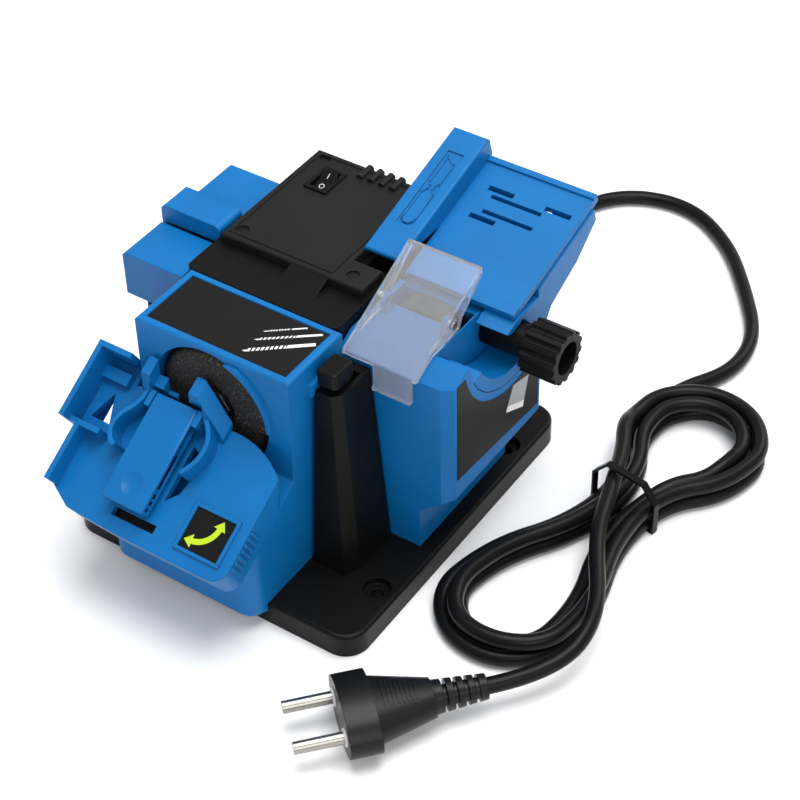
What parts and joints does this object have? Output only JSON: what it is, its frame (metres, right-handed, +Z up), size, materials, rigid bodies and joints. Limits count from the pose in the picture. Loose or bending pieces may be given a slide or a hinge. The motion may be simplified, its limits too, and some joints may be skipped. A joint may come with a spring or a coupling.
{
  "type": "drill bit sharpener",
  "caption": "Bench sharpener with a swivelling drill head in front, knife slots at the left, a tilting chisel table at the right, belt-driven wheels and a mains lead tied in a hank.",
  "frame": {"origin": "middle of the base plate's underside, on the bench", "axes": "+Z up, +X to the chisel table, -Y to the drill head, so the lead leaves towards +Y"},
  "size_m": [0.2216, 0.3639, 0.1277],
  "materials": {
    "blue": "fine spark-eroded blue moulding",
    "black": "satin black moulding",
    "rubber": "matt black rubber",
    "cord": "black flexible sheath",
    "plug": "black moulded plug",
    "clear": "clear moulding",
    "abrasive": "dark sparkling grit",
    "steel": "turned and pressed steel",
    "pin": "plated pins",
    "copper": "enamelled wire",
    "alloy": "turned alloy"
  },
  "bodies": {
    "frame": {"base_plate": "black", "bench_pads": "rubber", "drill_housing": "blue", "head_pivot": "steel", "motor_housing": "black", "top_cover": "black", "cover_screws": "steel", "switch_frame": "black", "knife_housing": "blue", "knife_roof": "blue", "chisel_housing": "blue", "guard_pins": "steel", "release_post": "black", "stator_stack": "steel", "stator_coils": "copper", "motor_brackets": "steel", "motor_bearings": "steel", "motor_cradle": "steel", "knife_bearings": "steel", "chisel_bearings": "steel", "knife_belt": "rubber", "chisel_belt": "rubber", "strain_relief": "black", "cord_lead": "cord", "cord_hank": "cord", "cord_tail": "cord", "cord_tie": "black", "plug_body": "plug", "plug_pins": "pin"},
    "rotor": {"motor_shaft": "steel", "drill_wheel": "abrasive", "drill_wheel_nut": "steel", "drive_pulley": "alloy", "rotor_core": "steel"},
    "knife_spindle": {"knife_shaft": "steel", "knife_wheel": "abrasive", "knife_wheel_nut": "steel", "knife_pulley": "alloy"},
    "chisel_spindle": {"chisel_shaft": "steel", "chisel_wheel": "abrasive", "chisel_wheel_nut": "steel", "chisel_pulley": "alloy"},
    "head": {"swivel_head": "blue", "lever_pin": "steel", "drill_jaws": "blue"},
    "lever": {"clamp_lever": "blue"},
    "rocker": {"power_rocker": "black"},
    "guard": {"guard": "clear"},
    "table": {"table_support": "blue"},
    "carriage": {"table_plate": "blue", "fence": "blue"},
    "knob": {"clamp_knob": "black", "clamp_screw": "steel"},
    "button": {"release_button": "black"}
  },
  "joints": [
    {"name": "rotor_spin", "type": "hinge", "parent": "frame", "child": "rotor", "pos_m": [-0.007, 0, 0.077], "axis": [0, 1, 0], "continuous": true},
    {"name": "knife_spin", "type": "hinge", "parent": "frame", "child": "knife_spindle", "pos_m": [-0.0575, 0, 0.077], "axis": [0, 1, 0], "continuous": true},
    {"name": "chisel_spin", "type": "hinge", "parent": "frame", "child": "chisel_spindle", "pos_m": [0.0439, 0, 0.0866], "axis": [0, 1, 0], "continuous": true},
    {"name": "head_swivel", "type": "hinge", "parent": "frame", "child": "head", "pos_m": [0.0058, -0.08807, 0.05304], "axis": [0, -0.515, 0.8572], "range_deg": [0, 25]},
    {"name": "lever_lift", "type": "hinge", "parent": "head", "child": "lever", "pos_m": [-0.0175, -0.06181, 0.07535], "axis": [1, 0, 0], "range_deg": [-20, 0]},
    {"name": "rocker_tip", "type": "hinge", "parent": "frame", "child": "rocker", "pos_m": [-0.0263, 0.0475, 0.105], "axis": [1, 0, 0], "range_deg": [-16, 0]},
    {"name": "guard_lift", "type": "hinge", "parent": "frame", "child": "guard", "pos_m": [0.0453, 0.0045, 0.1045], "axis": [1, 0, 0], "range_deg": [-20, 0]},
    {"name": "table_tilt", "type": "hinge", "parent": "frame", "child": "table", "pos_m": [0.0686, 0.0228, 0.1039], "axis": [1, 0, 0], "range_deg": [0, 30]},
    {"name": "carriage_slide", "type": "slide", "parent": "table", "child": "carriage", "axis": [1, 0, 0], "range_m": [0, 0.008]},
    {"name": "knob_turn", "type": "hinge", "parent": "frame", "child": "knob", "pos_m": [0.085, 0.0265, 0.089], "axis": [1, 0, 0], "range_deg": [0, 180]},
    {"name": "button_press", "type": "slide", "parent": "frame", "child": "button", "axis": [0, 0, -1], "range_m": [0, 0.003]}
  ],
  "couplings": [
    {"joint": "knife_spin", "follows": "rotor_spin", "ratio": 1},
    {"joint": "chisel_spin", "follows": "rotor_spin", "ratio": 1}
  ]
}
